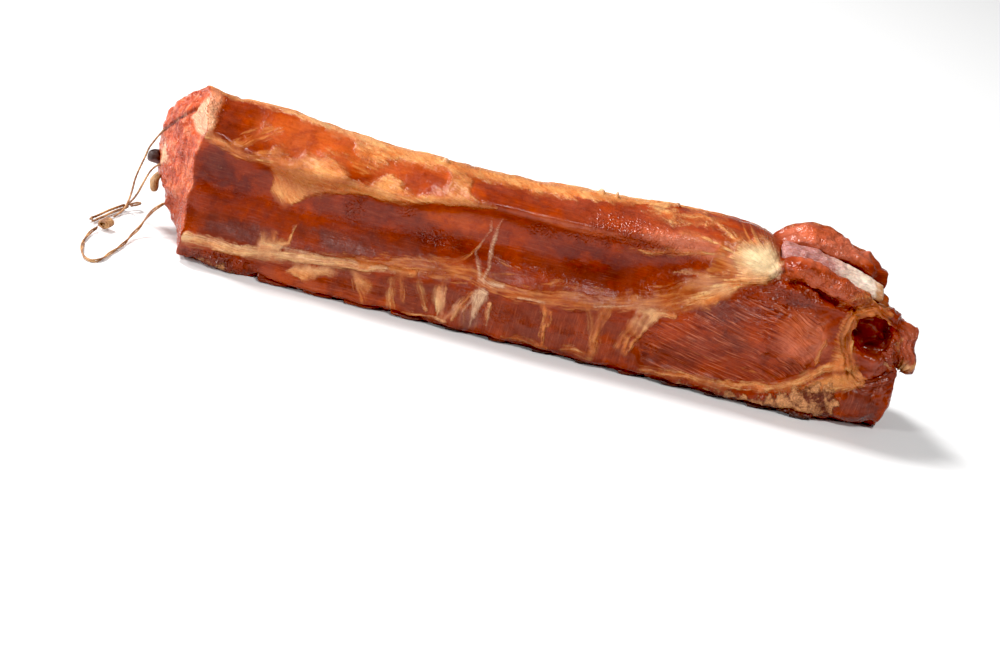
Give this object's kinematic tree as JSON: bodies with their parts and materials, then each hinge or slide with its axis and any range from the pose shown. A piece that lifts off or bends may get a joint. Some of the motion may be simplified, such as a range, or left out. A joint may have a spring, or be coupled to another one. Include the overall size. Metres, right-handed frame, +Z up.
{
  "type": "smoked pork loin",
  "caption": "Whole smoked pork loin on the bone, lying on its sawn backbone side, hollow rib side to the front, tenderloin at the hip end and a twine loop at the tied end.",
  "frame": {"origin": "on the standing surface, under the middle of the meat's length and depth", "axes": "+X along the loin from the tied shoulder end to the hip end, +Y away from the hollow rib side towards the outer back, +Z up"},
  "size_m": [0.6004, 0.1279, 0.1271],
  "materials": {
    "meat": "smoked muscle and fat, satin with an oily shine in places",
    "sawn_bone": "sawn and smoked, dull",
    "rib_plate": "smooth skin over bone, silvery shine",
    "dark_bone": "smoked dark, dull",
    "pale_bone": "dull",
    "twine": "twisted natural fibre, dull and a little hairy"
  },
  "bodies": {
    "root": {"loin": "meat", "vertebra_01": "sawn_bone", "vertebra_02": "sawn_bone", "vertebra_03": "sawn_bone", "vertebra_04": "sawn_bone", "vertebra_05": "sawn_bone", "vertebra_06": "sawn_bone", "vertebra_07": "sawn_bone", "vertebra_08": "sawn_bone", "vertebra_09": "sawn_bone", "vertebra_10": "sawn_bone", "vertebra_11": "sawn_bone", "vertebra_12": "sawn_bone", "vertebra_13": "sawn_bone", "rib_plate": "rib_plate", "dark_bone_end": "dark_bone", "pale_bone_end": "pale_bone", "twine_loop": "twine", "twine_high_strand": "twine", "twine_low_strand": "twine", "twine_knot": "twine", "twine_hank": "twine"}
  },
  "joints": []
}
